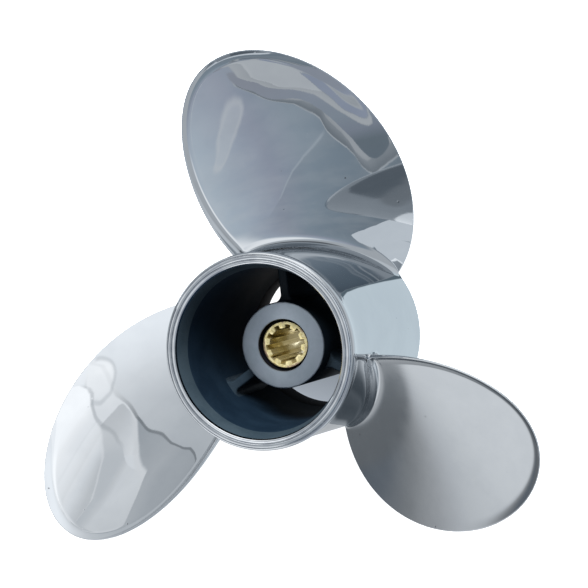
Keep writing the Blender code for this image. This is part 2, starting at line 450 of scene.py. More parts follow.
# %% [markdown]
# A blade is a curved sheet, thin at its edge, thick in the middle, that follows a helix like a
# screw thread. Its numbers are those of the CAD blade: the helix's lead, the rake and sweep,
# the chord at each radius, the thickness, the edge and the root fillet. The grid's columns and
# rows crowd towards the edge and the tip, where the blade curves most.

# %% Blade numbers
BLADE_R0 = 38.4
BLADE_Z0 = 36.9
TIP_R = 125.5
SPAN = TIP_R - BLADE_R0
LEAD = 330.2 / (2 * pi)
RAKE = (0.251, 0.00041)
SWEEP = (15, 16, 8)
CHORD = (25.9, 62.7, -38.4, 12.2)
ROOT_T, TIP_T = 7, 2.2
EDGE_T = 1.2
FILLET = 5.5
CUP_W, CUP_H = 5, 1.9
ACROSS, ROWS, FILLET_ROWS = 120, 76, 10
EDGE_CROWD, TIP_CROWD = 2.4, 1.9
ROUND_FROM, ROUND_TO = 0.1, 0.6
BELLY, FULL_HALF_CHORD = 0.75, 12.0


def smooth(x, low, high):
    f = min(1, max(0, (x - low) / (high - low)))
    return f * f * (3 - 2 * f)


def blade_height(r, angle_arc):
    return BLADE_Z0 + RAKE[0] * (r - BLADE_R0) + RAKE[1] * (r - BLADE_R0) ** 2 + LEAD * angle_arc / r

# %% [markdown]
# `blade_point` takes a place on a flat grid and gives the point on the finished blade, so the
# blade starts as a grid and its back is an extrusion of it. The grid's first rows are the root
# fillet, where the blade swells into the barrel along a quarter circle. Near its outline the
# sheet rolls over to a rounded edge, and near the trailing edge it lifts into the small cup
# that keeps a propeller from slipping.

# %% From the grid to the blade
def blade_point(x, row, side):
    """Grid column x from -1 to 1 and a row number, to a point in mm; side is 1 aft and -1 front."""
    across = copysign(1 - (1 - abs(x)) ** EDGE_CROWD, x)
    size = FILLET * (0.25 + 0.75 * (1 - across ** 6))
    height = 41.0
    for _ in range(3):
        start = (height + size - BLADE_R0) / SPAN
        if row <= FILLET_ROWS:
            phi = pi / 2 * (1 - max(0, row - 1) / (FILLET_ROWS - 1))
            over = size * (1 - sin(phi)) - (0.03 if row else 0.8)
            t = (height + over - BLADE_R0) / SPAN
        else:
            phi = 0.0
            part = (row - FILLET_ROWS) / (ROWS - FILLET_ROWS)
            t = start + (1 - start) * (1 - (1 - part) ** TIP_CROWD)
        w = smooth(t, ROUND_FROM, ROUND_TO)
        u = across * sqrt(1 - t * t * (1 - w / 2))
        t *= sqrt(1 - w * across * across / 2)
        r = BLADE_R0 + t * SPAN
        chord = sum(a * t ** i for i, a in enumerate(CHORD))
        arc = sum(b * t ** (i + 1) for i, b in enumerate(SWEEP)) + chord * u
        z = blade_height(r, arc)
        height = along(BARREL_OUT, z)
    slope = atan2(LEAD, r)
    inside = max(0, 1 - t * t - u * u)
    chord_slope = sum(i * a * t ** (i - 1) for i, a in enumerate(CHORD) if i)
    sweep_slope = sum((i + 1) * b * t ** i for i, b in enumerate(SWEEP))
    grow = (2 * t - 2 * u * (sweep_slope + u * chord_slope) / chord) / SPAN
    edge = inside / max(hypot(2 * u * cos(slope) / chord, grow), 1e-4)
    rho = EDGE_T / 2
    trailing = smooth(atan2(t, u), 2.2, 1.5)
    half = chord * sqrt(max(0, 1 - t * t))
    share = inside / max(1e-6, 1 - t * t)
    middle = ROOT_T + (TIP_T - ROOT_T) * t ** 0.8 - EDGE_T
    body = middle * min(1, half / FULL_HALF_CHORD) * share ** BELLY
    roll = rho - sqrt(rho * rho - (rho - edge) ** 2) if edge < rho else 0.0
    cup = CUP_H * trailing * max(0, 1 - edge / CUP_W) ** 2
    lift = cup - roll if side > 0 else cup - EDGE_T - body + roll
    off = size * (1 - cos(phi))
    turn = acos(min(1, max(0, 1 - edge / rho)))
    lift += side * off * sin(turn)
    push = copysign(off * cos(turn), x)
    z += lift * cos(slope) + push * sin(slope)
    arc += push * cos(slope) - lift * sin(slope)
    return r * cos(arc / r), r * sin(arc / r), z

# %% [markdown]
# The three blades are the same shape, a third of a turn apart. Only the grid's points move, so
# the faces stay as the operators made them, and merging the doubles closes the tip, where the
# grid's last row meets.

# %% Blades
for number, turn in enumerate((90, 210, 330), 1):
    bm = bmesh.new()
    bmesh.ops.create_grid(bm, x_segments=ACROSS, y_segments=ROWS, size=1)
    extrude(bm, bm.faces[:], 1)
    for vert in bm.verts:
        row = round((vert.co.y + 1) / 2 * ROWS)
        vert.co = blade_point(vert.co.x, row, 1 if vert.co.z > 0.5 else -1)
    bmesh.ops.remove_doubles(bm, verts=bm.verts[:], dist=0.0005)
    turn_to(bm, turn)
    make_piece(bm, f"blade_skin_{number}", f"blade_{number}",
        [satin_steel if number == 3 else mirror_steel], 60)

# %% [markdown]
# Three ribs tie the hub to the barrel and leave room for the exhaust between them. Each is cast
# in one with both, so it has feet that spread where it meets them. The rib starts as a flat
# outline shaped like an H lying down, is extruded along the shaft, has its inner corners and
# aft edge rounded, and is then bent so that its two ends follow the hub and the bore.

# %% Ribs
HUB_OUT = [(HUB_FRONT, 18.8), (HUB_AFT, 18.5)]
RIB_AFT, RIB_FRONT, RIB_T, RIB_FOOT, RIB_LENGTH = 56.5, 6.5, 4, 3, 15.6
half, foot = RIB_T / 2, RIB_T / 2 + RIB_FOOT
corners = [(-1, foot), (0, foot), (0, half), (RIB_LENGTH, half), (RIB_LENGTH, foot), (RIB_LENGTH + 1, foot)]
section = corners + [(x, -y) for x, y in reversed(corners)]


def is_inner_corner(edge):
    a, b = (v.co for v in edge.verts)
    return abs(a.z - b.z) > 1 and abs(abs(a.y) - half) < 0.01


def is_aft_rim(edge):
    return edge.calc_face_angle(0) > 1.0 and all(v.co.z > RIB_AFT - 0.01 and abs(v.co.y) < foot + 1
                                                 and -0.9 < v.co.x < RIB_LENGTH + 0.9 for v in edge.verts)


for number, turn in enumerate((109, 229, 349), 1):
    bm = bmesh.new()
    web = bm.faces.new([bm.verts.new((x, y, RIB_FRONT)) for x, y in section])
    extrude(bm, [web], RIB_AFT - RIB_FRONT)
    bmesh.ops.recalc_face_normals(bm, faces=bm.faces[:])
    round_edges(bm, RIB_FOOT * 0.98, 6, is_inner_corner)
    round_edges(bm, 1.3, 4, is_aft_rim)
    for vert in bm.verts:
        x, y, z = vert.co
        hub, bore = along(HUB_OUT, z), along(BORE[3:7], z)
        radius = hub + x * (bore - hub) / RIB_LENGTH
        vert.co = (sqrt(radius * radius - y * y), y, z)
    turn_to(bm, turn)
    make_piece(bm, f"rib_web_{number}", f"rib_{number}", [rib_cast], 35)

# %% [markdown]
# The hub is a turned tube with a clean end face. Its outer rim has a chamfer and the mouth of its bore a
# small round. The wall behind the face is rough, as cast, and the hole behind the face is painted near
# black as painted shade.

# %% Hub
HOLE_R, SEAT_R, SEAT_END = 11.1, 14.7, 60.0
(front, front_r), (aft, aft_r) = HUB_OUT
bm = turned([(front, front_r), (aft, aft_r), (aft, HOLE_R), (SEAT_END, HOLE_R), (SEAT_END, SEAT_R),
    (front, SEAT_R)], 144)
round_edges(bm, 0.7, 3, lambda e: is_ring(e, aft, aft_r) or is_ring(e, front, front_r))
round_edges(bm, 0.45, 3, lambda e: is_ring(e, aft, HOLE_R))
for face in bm.faces:
    z, radius = face_place(face)
    if z < HUB_AFT - 0.5 and radius > 15:
        face.material_index = 1
    # The hole and seat behind the hub's face get the near black painted shade.
    elif z < HUB_AFT - 0.6:
        face.material_index = 2
make_piece(bm, "hub_body", "inner_hub", [face_steel, rib_cast, painted_shade], 30)

# %% [markdown]
# A rubber bushing sits between the hub and the sleeve and gives way if a blade hits something.
# Only its dark aft end shows, as a crescent round the brass.

# %% Rubber bushing
RUBBER_FRONT, RUBBER_AFT, RUBBER_IN, RUBBER_OUT = 13, 59.7, 10.3, 14.4
bm = turned([(RUBBER_FRONT, RUBBER_IN), (RUBBER_FRONT, RUBBER_OUT), (RUBBER_AFT, RUBBER_OUT),
    (RUBBER_AFT, RUBBER_IN)], 96)
round_edges(bm, 0.5, 2, lambda e: e.calc_face_angle(0) > 1)
make_piece(bm, "rubber_ring", "rubber_bushing", [rubber], 35)

# %% [markdown]
# The sleeve slides on the motor's splined shaft. Its inside outline has ten teeth. A circle of
# forty points, four to a tooth, is moved into that outline, a second circle makes the outside,
# and bridging the two gives the end ring, which is extruded along the shaft.

# %% Spline sleeve
TEETH, TOOTH_TIP_R, GROOVE_R, SLEEVE_R = 10, 7.1, 8.7, 10.0
TIP_SHARE, ROOT_SHARE, FIRST_TOOTH = 0.54, 0.42, 0.14
TOOTH_CORNERS = [(-TIP_SHARE / 2, TOOTH_TIP_R), (TIP_SHARE / 2, TOOTH_TIP_R),
                 (0.5 - ROOT_SHARE / 2 + 0.02, GROOVE_R), (0.5 + ROOT_SHARE / 2 - 0.02, GROOVE_R)]
bm = bmesh.new()
inner = bmesh.ops.create_circle(bm, segments=TEETH * 4, radius=GROOVE_R)["verts"]
for k, vert in enumerate(inner):
    tooth, corner = divmod(k, 4)
    share, radius = TOOTH_CORNERS[corner]
    angle = (tooth + share + FIRST_TOOTH) * 2 * pi / TEETH
    vert.co = (radius * cos(angle), radius * sin(angle), 0)
bmesh.ops.create_circle(bm, segments=TEETH * 8, radius=SLEEVE_R)
ring = bmesh.ops.bridge_loops(bm, edges=bm.edges[:])["faces"]
extrude(bm, ring, SLEEVE_AFT - SLEEVE_FRONT)
bmesh.ops.translate(bm, verts=bm.verts[:], vec=(0, 0, SLEEVE_FRONT))
bmesh.ops.recalc_face_normals(bm, faces=bm.faces[:])
round_edges(bm, 0.35, 2, lambda e: e.calc_face_angle(0) > 0.9
            and any(all(abs(v.co.z - end) < 0.01 for v in e.verts) for end in (SLEEVE_AFT, SLEEVE_FRONT)))
make_piece(bm, "sleeve", "spline_sleeve", [brass], 30)

# %% [markdown]
# The propeller stands on a plain pale floor. Polished metal would show that floor's edge, so
# the floor is hidden from reflections and the steel sees the studio's lower half. Only a small
# disc inside the barrel is not hidden, because the bore and the sleeve look down on it.

# %% Floor
def flat_stage(name, inner, outer, material):
    bm = bmesh.new()
    bmesh.ops.create_circle(bm, segments=96, radius=outer, cap_ends=inner == 0)
    if inner:
        bmesh.ops.create_circle(bm, segments=96, radius=inner)
        bmesh.ops.bridge_loops(bm, edges=bm.edges[:])
    bmesh.ops.recalc_face_normals(bm, faces=bm.faces[:])
    item = mesh_object(bm, name, [material])
    return item


INSIDE_R, FLOOR_R = 0.036, 5.0
pale, tree, socket = new_material("pale_floor", Base_Color=(0.8, 0.8, 0.8), Roughness=0.9,
                                  Emission_Color=(1, 1, 1), Emission_Strength=0.78)
floor = flat_stage("floor", INSIDE_R, FLOOR_R, pale)
floor.visible_glossy = False
print("floor reaches", FLOOR_R, "m from the shaft")

# %% [markdown]
# The disc glows, and its glow is painted light. The camera sees two bits of that disc past the ribs: a
# white one at the upper left and a pale grey one low down, so its glow changes with the place. The part
# under the sleeve is what the brass teeth mirror, and a slanted glowing bar on it paints the white flats
# between them as a reflection.

# %% Floor inside the barrel
inside_floor_glow, tree, socket = new_material("floor_inside_glow", Base_Color=(0.3, 0.3, 0.3), Roughness=0.9,
                                          Emission_Strength=1)
left, low, _ = xyz(tree, place_on(tree))
# Painted light: the disc's glow is brighter on its low side, with a white glowing spot at the upper left.
low_side_glow = ramp(tree, low, [(-0.030, (0.34, 0.38, 0.43)), (-0.016, (0.24, 0.27, 0.31)),
    (-0.004, (0.10, 0.12, 0.15)), (0.020, (0.05, 0.07, 0.10))])
glow_spot = product(tree, fit(tree, left, -0.0222, -0.0235), fit(tree, low, 0, 0.003))
# Painted reflection: under the sleeve a warm glow with a slanted bright bar, which the brass teeth mirror.
under_sleeve = fit(tree, round_shaft(tree)[1], 0.0140, 0.0130)
slant = calc(tree, "MULTIPLY_ADD", left, -0.73, low)
glow_bar = product(tree, fit(tree, left, 0.0006, 0.0002), fit(tree, slant, 0.0031, 0.0035),
                     fit(tree, slant, 0.0057, 0.0053))
glow = blend(tree, glow_spot, low_side_glow, (1.15, 1.15, 1.15))
glow = blend(tree, under_sleeve, glow, blend(tree, glow_bar, (0.47, 0.44, 0.34), (2.6, 2.7, 2.8)))
join(tree, glow, socket["Emission Color"])
flat_stage("floor_inside_glow", 0, INSIDE_R, inside_floor_glow)
print("the disc inside the barrel is", INSIDE_R / MM, "mm in radius")

# %% [markdown]
# Mirrors have no colour of their own: a polished propeller looks the way its room looks. So
# the studio is painted by direction. A direction is turned into two angles in degrees, `az`
# round the shaft from +X and `el` up from the horizon, and soft panels are laid out in them.
# Each blade reflects its own part of the room, so each has its own set of panels. `az_w` and
# `el_w` are the same angles shaken by a little noise, for edges that wander.

# %% Studio angles
world = bpy.data.worlds.new("studio")
bpy.context.scene.world = world
world.use_nodes = True
world.cycles.sampling_method = "NONE"
studio = world.node_tree
DEGREES = 180 / pi


def angles(vector):
    x, y, z = xyz(studio, vector)
    return (product(studio, calc(studio, "ARCTAN2", y, x), DEGREES),
            product(studio, calc(studio, "ARCSINE", z), DEGREES))


way = put(studio, "TexCoord")
az, el = angles(way)
shake = put(studio, "TexNoise", way, 4.5, 0.6, 0.35, out=1)
shake = put(studio, "VectorMath", shake, (0.5, 0.5, 0.5), operation="SUBTRACT")
shake = put(studio, "VectorMath", shake, (0.085, 0.085, 0.085), operation="MULTIPLY")
bent_way = put(studio, "VectorMath", way, shake, operation="ADD")
az_w, el_w = angles(put(studio, "VectorMath", bent_way, operation="NORMALIZE"))
count("studio with its angles", studio)

# %% [markdown]
# A panel's edge is either a straight line in these angles or a curve drawn through listed points. `line`
# adds up two angles with weights, `bend` reads a curve from a list of points, and `outline` does the same
# for a shape that closes round a middle point. `step`, `above`, `within` and `between` turn such values
# into shares from 0 to 1 with soft sides, `paint` lays colours over the room by such shares, and `tones`
# gives a stripe its greys. A grey's second number says how blue it is.

# %% Studio drawing tools
def line(a, ka, b, kb, c=0.0):
    return calc(studio, "ADD", calc(studio, "MULTIPLY_ADD", a, ka, c), product(studio, b, kb))


def minus(a, b):
    return calc(studio, "SUBTRACT", a, b)


def times(*values):
    return product(studio, *values)


def bend(value, points):
    """A curve through (value, height) points, as heights between -100 and 100."""
    shades = [(at, ((height + 100) / 200,) * 3) for at, height in points]
    return calc(studio, "MULTIPLY_ADD", ramp(studio, value, shades), 200, -100)


def step(value, low, high, to_low=0.0, to_high=1.0, kind="SMOOTHSTEP"):
    return fit(studio, value, low, high, to_low, to_high, kind)


def above(value, level, soft=0.3):
    return step(minus(value, level), -soft, soft)


def within(shape, soft=0.12):
    return above(shape, 0, soft)


def between(value, low, high, soft=0.5):
    return times(step(value, low - soft, low + soft), step(value, high + soft, high - soft))


def outline(middle, points, turn=0.0, stretch=1.0):
    """Above zero inside a curve given by (direction, distance) points about its middle, in degrees.
    A long shape is turned level and its length divided by stretch first, so that the curve is rounder."""
    side, up = minus(az, middle[0]), minus(el, middle[1])
    c, s = cos(radians(turn)), sin(radians(turn))
    u, v = line(side, c / stretch, up, s / stretch), line(side, -s, up, c)
    direction = times(calc(studio, "ARCTAN2", v, u), DEGREES)
    distance = calc(studio, "SQRT", line(times(u, u), 1, times(v, v), 1))
    return minus(bend(direction, points), distance)


def paint(room, *layers):
    """Lays (share, colour) layers over a room, the first one lowest."""
    for share, colour in layers:
        room = blend(studio, share, room, colour)
    return room


def grey(value, blue):
    return (value * (1 - blue), value, value * (1 + blue))


def tones(value, stops):
    """A ramp whose stops are (value, grey, blue) or (value, colour)."""
    return ramp(studio, value, [(at, grey(*tone) if len(tone) == 2 else tone[0]) for at, *tone in stops])

# %% [markdown]
# Blade 1, at the top of the photograph, shows a slow grey gradient with a lilac middle, a band
# of nested stripes near its right edge, a pale oval on its left and a white corner low down.
# The dark patch below the stripes is blade 3's reflection, and comes with the second mirror.

# %% Studio for blade 1: gradient, fold line and oval
room_1 = tones(line(az, 1, el, 0.5, -15), [(-60, 0.28, 0.2), (-40, 0.345, 0.21), (-26, 0.415, 0.19),
    (-12, (0.43, 0.475, 0.575)), (0, (0.51, 0.58, 0.68)), (13, 0.71, 0.13), (20, 0.81, 0.1),
    (40, 1, 0.06)])
streaks = put(studio, "TexNoise", put(studio, "VectorMath", way, (3, 3, 14), operation="MULTIPLY"), 1, 3,
    0.55)
FOLD = [(-40, 38), (-38.4, 37.3), (-32.5, 35.5), (-27.7, 34.2), (-20.7, 31.5), (-15.5, 28.5), (-10.1, 25),
    (0, 19)]
fold = bend(az, FOLD)
oval = outline((-11.7, 44.4), [(-180, 2.21), (-175, 1.91), (-158, 1.66), (-133, 1.61), (-103, 1.21),
    (-56, 1.12), (-3, 1.38), (25, 1.88), (38, 2.28), (50, 2.4), (64, 1.91), (79, 1.61), (108, 1.65),
    (117, 1.77), (125, 2.03), (144, 3.09), (158, 3.11), (173, 2.84), (180, 2.21)], turn=161.2, stretch=6)
room_1 = paint(room_1,
    (step(streaks, 0.35, 0.65, 0, 0.12), grey(0.85, 0)),
    (times(above(fold, el, 0.25), step(az, 8, -8), 0.22), (0.27, 0.32, 0.36)),
    (times(between(minus(el, fold), -0.2, 0.3, 0.15), between(az, -38, -9, 2), 0.6), grey(0.62, 0.1)),
    (times(within(oval, 0.25), 0.42), grey(0.82, 0.05)),
    (times(between(oval, -0.2, 0.35, 0.25), 0.35), grey(0.82, 0.03)))
count("studio with the gradient", studio)

# %% [markdown]
# The stripes lie inside one another like the leaves of an onion. Each one is a curve with its
# own tones, painted from the outside inwards, and a stripe's tone changes with the distance
# from its own edge, which gives the thin light lines along it.

# %% Studio for blade 1: nested stripes
outer = outline((-45, 42.5), [(-150, 20.24), (-142, 18.33), (-132, 16.81), (-121, 15.94), (-109, 15.78),
    (-103, 14.83), (-96, 13.06), (-92, 10.68), (-82, 8.98), (-68, 8.14), (-44, 7.39), (-30, 5.91),
    (-19, 6.24), (-14, 6.72), (-5, 8.01), (2, 9.54), (5, 11.55), (7, 13.37), (9, 15.72), (10, 16.63),
    (13, 18.41), (16, 21.15), (21, 20.54), (22, 18.25), (23, 16.42)])
lilac = outline((-45, 42.5), [(-147, 15.18), (-144, 15.64), (-121, 13.49), (-114, 12.28), (-109, 10.55),
    (-103, 7.43), (-96, 6.08), (-87, 4.93), (-77, 4.18), (-62, 3.63), (-29, 3.56), (-8, 4.57), (-3, 5.08),
    (3, 6.41), (5, 7.11), (7, 8.75), (8, 10.9), (9, 13.94), (10, 15.52), (12, 16.9), (14, 17.64),
    (15, 19.4), (16, 20.15), (17, 20.66), (19, 20.93), (22, 20.29), (23, 18.17)])
lilac_tones = tones(el, [(30, (0.19, 0.235, 0.28)), (34.5, (0.2, 0.245, 0.285)),
    (36.5, (0.3, 0.34, 0.41)), (39, (0.345, 0.4, 0.465)), (43, (0.37, 0.415, 0.49)),
    (47, (0.385, 0.415, 0.48)), (52, (0.375, 0.4, 0.46))])
light = outline((-50, 42.5), [(-139, 6.32), (-135, 7.05), (-129, 7.38), (-118, 6.79), (-108, 5.96),
    (-89, 4.8), (-74, 4.26), (-60, 4.02), (-43, 4.16), (-27, 4.65), (-16, 5.19), (-6, 6.02), (-1, 6.66),
    (3, 7.38), (5, 8.4), (6, 9.03), (7, 9.77), (8, 10.64), (9, 11.69), (10, 13.04), (11, 15.51),
    (12, 18.41), (13, 19.29), (14, 19.68), (15, 22.13), (16, 23.38), (18, 23.13)])
inner = outline((-47.5, 42.5), [(-150, 8), (-146, 8.28), (-140, 7.73), (-133, 6.34), (-129, 5.31),
    (-126, 4.73), (-117, 3.68), (-98, 2.25), (-77, 1.57), (-57, 1.33), (-35, 1.3), (-14, 1.52), (2, 1.94),
    (12, 2.48), (23, 3.49), (28, 4.29), (31, 5.08), (33, 5.8), (34, 5.79), (37, 4.94), (41, 4.14),
    (48, 3.27), (62, 2.28), (73, 1.87), (95, 1.5), (122, 1.44), (146, 1.7), (163, 2.21)])
inner_side = between(az, -75, -38, 2)
sliver = outline((-50.5, 41.4), [(-180, 0.78), (-154, 0.68), (-127, 0.74), (-94, 0.59), (-69, 0.58),
    (-12, 1), (12, 1.1), (89, 1.02), (180, 0.78)], turn=-142, stretch=3.6)
room_1 = paint(room_1,
    (within(outer), tones(outer, [(0, 0.58, 0.07), (0.3, 0.58, 0.07), (0.5, 0.27, 0.12), (1.2, 0.3, 0.12),
        (2.4, 0.36, 0.1), (3, 0.38, 0.1), (3.3, 0.49, 0.06), (4.2, 0.53, 0.06), (9, 0.53, 0.06)])),
    (within(lilac), lilac_tones),
    (within(light), tones(light, [(0, 0.52, 0.06), (0.3, 0.62, 0.05), (0.9, 0.6, 0.05), (3.1, 0.56, 0.06),
        (3.4, 0.72, 0.04), (4.4, 0.68, 0.05), (20, 0.66, 0.05)])),
    (times(within(inner), inner_side), tones(inner, [(0, 0.44, 0.1), (0.4, (0.39, 0.44, 0.55)),
        (8, (0.39, 0.44, 0.54))])),
    (above(line(az, -0.62, el, 1), 73.6), (0.385, 0.42, 0.49)),
    (within(sliver), tones(sliver, [(0, 0.62, 0.05), (0.35, 0.52, 0.06), (1, 0.56, 0.06)])))
count("studio with the stripes", studio)

# %% [markdown]
# The white corner, low on the right, is the brightest thing on this blade. A bright card shows
# in its root fillet.

# %% Studio for blade 1: white corner and fillet card
corner = outline((-48.3, 8.1), [(-180, 3.45), (-148, 4.87), (-115, 3.33), (-78, 3.47), (-47, 5.29),
    (-40, 6.26), (-34, 8.28), (13, 7.93), (29, 8.65), (43, 10.1), (47, 6.86), (50, 5.39), (69, 3.8),
    (75, 3.55), (94, 4.51), (141, 3.17), (180, 3.45)], turn=159.2, stretch=2.78)
corner_low = times(between(az, -75, -47, 0.3), between(el, -16, 8, 0.3))
room_1 = paint(room_1,
    (times(step(el, 6, 3.5), step(az, -46, -38)), grey(0.62, 0.06)),
    (calc(studio, "MAXIMUM", within(corner), corner_low), (0.81, 0.87, 0.93)),
    (times(step(az, 10, 26), step(el, 17, 11), step(el, 4, 8)), grey(1.3, 0.02)),
    (times(between(az, 38, 75, 6), between(el, -12, -2, 2)), grey(0.17, 0.1)))
count("studio for blade 1", studio)

# %% [markdown]
# Blade 2, at the lower left, faces the brightest side and is nearly white. Two dark, uneven
# outlines cross it. Near the hub is a plain slope of greys, and past the first outline lie pale
# patches with a folded shape in them.

# %% Studio for blade 2: outlines and patches
OUTLINE_A = [(95, 46), (104.2, 37.4), (106.3, 34.7), (109.4, 32.9), (113.9, 31.2), (118.6, 29.1),
    (121.8, 27.4), (129.1, 22.8), (134.6, 17.8), (140.6, 12.4), (145.9, 8.3), (149.7, 4.4), (154.6, 1),
    (158.5, -0.1), (175, -3)]
OUTLINE_B = [(100, 46), (108.6, 41), (109.3, 38.9), (111.8, 36.7), (113.9, 36), (117.2, 35.8), (121, 34.3),
    (125.3, 32.1), (128.8, 30.1), (131.9, 28.5), (134.4, 26.6), (138, 24.5), (150, 16)]
past_a = minus(el_w, bend(az_w, OUTLINE_A))
past_b = minus(el_w, bend(az_w, OUTLINE_B))
near = tones(az, [(96, 1.45, 0.03), (108, 1.28, 0.03), (115, 1.12, 0.03), (130, 0.88, 0.04),
    (146, 0.76, 0.05), (165, 0.72, 0.05)])
patches = tones(line(az_w, 1, el_w, -0.5, 15), [(102, 1.5, 0.02), (110, 1.36, 0.02), (112.6, 1.26, 0.02),
    (112.9, 1.36, 0.02), (115.4, 1.28, 0.02), (118, 1.24, 0.02), (140, 1.1, 0.03)])
cloth = outline((125.9, 27.8), [(-180, 5.26), (-158, 4.59), (-144, 4.4), (-124, 3.82), (-102, 3.33),
    (-81, 3.27), (-69, 3.71), (-59, 2.63), (-46, 1.95), (-26, 1.51), (-1, 1.36), (17, 1.44), (33, 1.65),
    (63, 2.62), (84, 2.66), (100, 2.96), (119, 3.06), (141, 3.45), (155, 3.92), (180, 5.26)], turn=151.2,
    stretch=2.86)
patches = paint(patches, (within(cloth, 0.15), tones(line(az, 0.5, el, -1),
    [(27, 0.86, 0.03), (36, 0.9, 0.03), (41, 1, 0.03), (45, 1.12, 0.02), (47, 0.98, 0.03),
    (49, 1.08, 0.02), (52, 1, 0.03)])))
count("studio with the patches", studio)

# %% [markdown]
# The other half of blade 2 shows a round arch at its top and, beyond the second outline, bands
# that flow down to the tip: a bright one on the left, a grey one in the middle, and a deep grey
# patch with a light rim.

# %% Studio for blade 2: arch and flowing bands
arch = outline((109.2, 36.3), [(-180, 3.2), (-174, 3.24), (-156, 2.97), (-141, 2.98), (-125, 2.78),
    (-114, 2.36), (-102, 2.1), (-67, 1.83), (-47, 1.95), (-30, 2.28), (-12, 2.29), (1, 2.15), (19, 2.1),
    (46, 2.25), (59, 2.43), (87, 3.05), (108, 3.32), (135, 3.33), (150, 3.52), (164, 3.25), (180, 3.2)],
    turn=158.7, stretch=2.67)
flow = line(el_w, 1, bend(az_w, [(120, 33.5), (126.1, 32.4), (128.6, 32.3), (132.2, 31.6), (135.2, 32.3),
    (137, 33.6), (137.6, 38), (140, 60)]), -1)
left = tones(line(az_w, 1, el_w, -1), [(78, 1.64, 0.01), (81, 1.58, 0.01), (83, 1.46, 0.01),
    (85.5, 1.37, 0.015), (88, 1.32, 0.02), (88.6, 1.25, 0.02), (89.4, 1.31, 0.02), (92, 1.22, 0.02),
    (93.2, 1.16, 0.02), (94, 1.21, 0.02), (96.5, 1.12, 0.03), (98.5, 1, 0.03), (101, 0.87, 0.03),
    (108, 0.8, 0.04)])
middle = tones(line(az_w, 1, flow, 0.6), [(122, 1.02, 0.03), (128, 0.92, 0.03), (133, 0.86, 0.04),
    (137, 0.84, 0.04), (137.6, 0.92, 0.03), (138.6, 0.83, 0.04), (146, 0.8, 0.05)])
deep = tones(az_w, [(129, 0.58, 0.07), (140, 0.62, 0.06), (148, 0.68, 0.05), (152, 0.62, 0.06),
    (165, 0.58, 0.06)])
DEEP_TOP = [(125, 24.6), (130.3, 22.9), (134, 21.6), (137.1, 20.8), (139.8, 20.5), (142.9, 20), (145.8, 19),
    (147, 22), (147.4, 45), (160, 50)]
deep_edge = line(el_w, 1, bend(az_w, DEEP_TOP), -1)
far = paint(middle,
    (within(flow, 0.25), left),
    (times(between(flow, -0.1, 0.5, 0.25), step(az_w, 125, 129), 0.6), grey(1.12, 0.02)))
count("studio with the bands", studio)

# %% [markdown]
# The parts are laid over one another from the far side to the near side. The thin dark lines
# along the outlines come last.

# %% Studio for blade 2: put together
arch_side = step(past_b, 0.1, -0.1)
room_2 = paint(patches,
    (within(past_b, 0.15), far),
    (times(between(deep_edge, 0, 1.6, 0.5), between(az_w, 127, 147, 2), 0.75), grey(1.05, 0.02)),
    (times(step(deep_edge, 0.5, -0.5), step(az_w, 128.4, 129.6)), deep),
    (step(past_a, 0.12, -0.12), near),
    (times(within(arch, 0.15), arch_side), tones(az, [(100, 1.45, 0.02), (108, 1.5, 0.01),
        (117, 1.28, 0.02)])),
    (times(between(arch, -0.35, 0.25, 0.2), arch_side, step(el, 38.6, 37.6), 0.42), grey(0.72, 0.05)),
    (times(between(past_a, 0, 0.9, 0.2), step(az, 112, 132, 0.1, 0.8)), grey(0.3, 0.08)),
    (times(between(past_b, -0.5, 0.2, 0.2), step(az, 108, 114), step(az, 136, 130), 0.5), grey(0.62, 0.05)))
count("studio for blades 1 and 2", studio)

# %% [markdown]
# Blade 3, on the right, runs from slate near the hub to pale grey at its tip, with a dark streak
# near its root. Its root fillet catches a bright card, and so does its cupped edge.

# %% Studio for blade 3
room_3 = tones(line(az, 0.9, el, 1, 161), [(8, (0.155, 0.18, 0.21)), (17, (0.18, 0.205, 0.235)),
    (27, 0.32, 0.05), (33, 0.47, 0.04), (40, 0.76, 0.04), (50, 0.96, 0.03), (60, 1, 0.03)])
root_shade = tones(az, [(-140, 0.2, 0.08), (-129, 0.22, 0.08), (-121, 0.27, 0.08), (-115, 0.38, 0.06),
    (-104, 0.58, 0.04)])
room_3 = paint(room_3,
    (times(between(az, -104, -98, 3), between(el, -22, 14, 6), 0.35), grey(0.3, 0.05)),
    (times(step(el, -9, -14), step(az, -88, -98)), root_shade),
    (times(step(az, -84, -74), step(el, -10, -16)), grey(1, 0.03)),
    (times(between(az, -128, -90, 6), step(el, 22, 32)), grey(1.45, 0.02)))
count("studio for all blades", studio)

# %% [markdown]
# The three sides meet behind the barrel and far out at the sides, where no blade shows the
# joint. Overhead is a grey ceiling for the lip and the hub's face. Underfoot is the pale blue
# grey that the barrel's flank shows.

# %% Studio put together
under = paint((0.73, 0.84, 0.91), (times(between(az, -144, -56, 5), step(el, -79, -74)), grey(0.52, 0.05)))
room = paint(room_1,
    (times(step(az, 72, 88), step(az, 178, 168)), room_2),
    (step(az, -78, -88), room_3),
    (times(step(el_w, -14, -20), step(az, -82, -76), step(az, 90, 80)), grey(0.8, 0.06)),
    (step(el, -45, -56), under),
    (times(between(az, 71.5, 120, 0.8), between(el, -78, -66, 1)), (0.13, 0.175, 0.21)),
    (step(el, 58, 67), grey(0.5, 0.07)))
count("studio seen through one mirror", studio)

# %% [markdown]
# Light that has already been in one mirror shows a second, darker room: these are painted reflections,
# which stand in for the blades and the barrel as the other mirrors show them. The lines are those on the
# barrel below blade 1. The dark patch, the soft lobe under it and a white part are what blade 3 adds to the
# right side of blade 1, and the low tones are for the barrel by blade 3.

# %% Studio as seen through two mirrors
def band(top, low, left_side):
    return times(above(bend(az, top), el, 0.25), above(el, bend(az, low), 0.25), above(az, left_side))


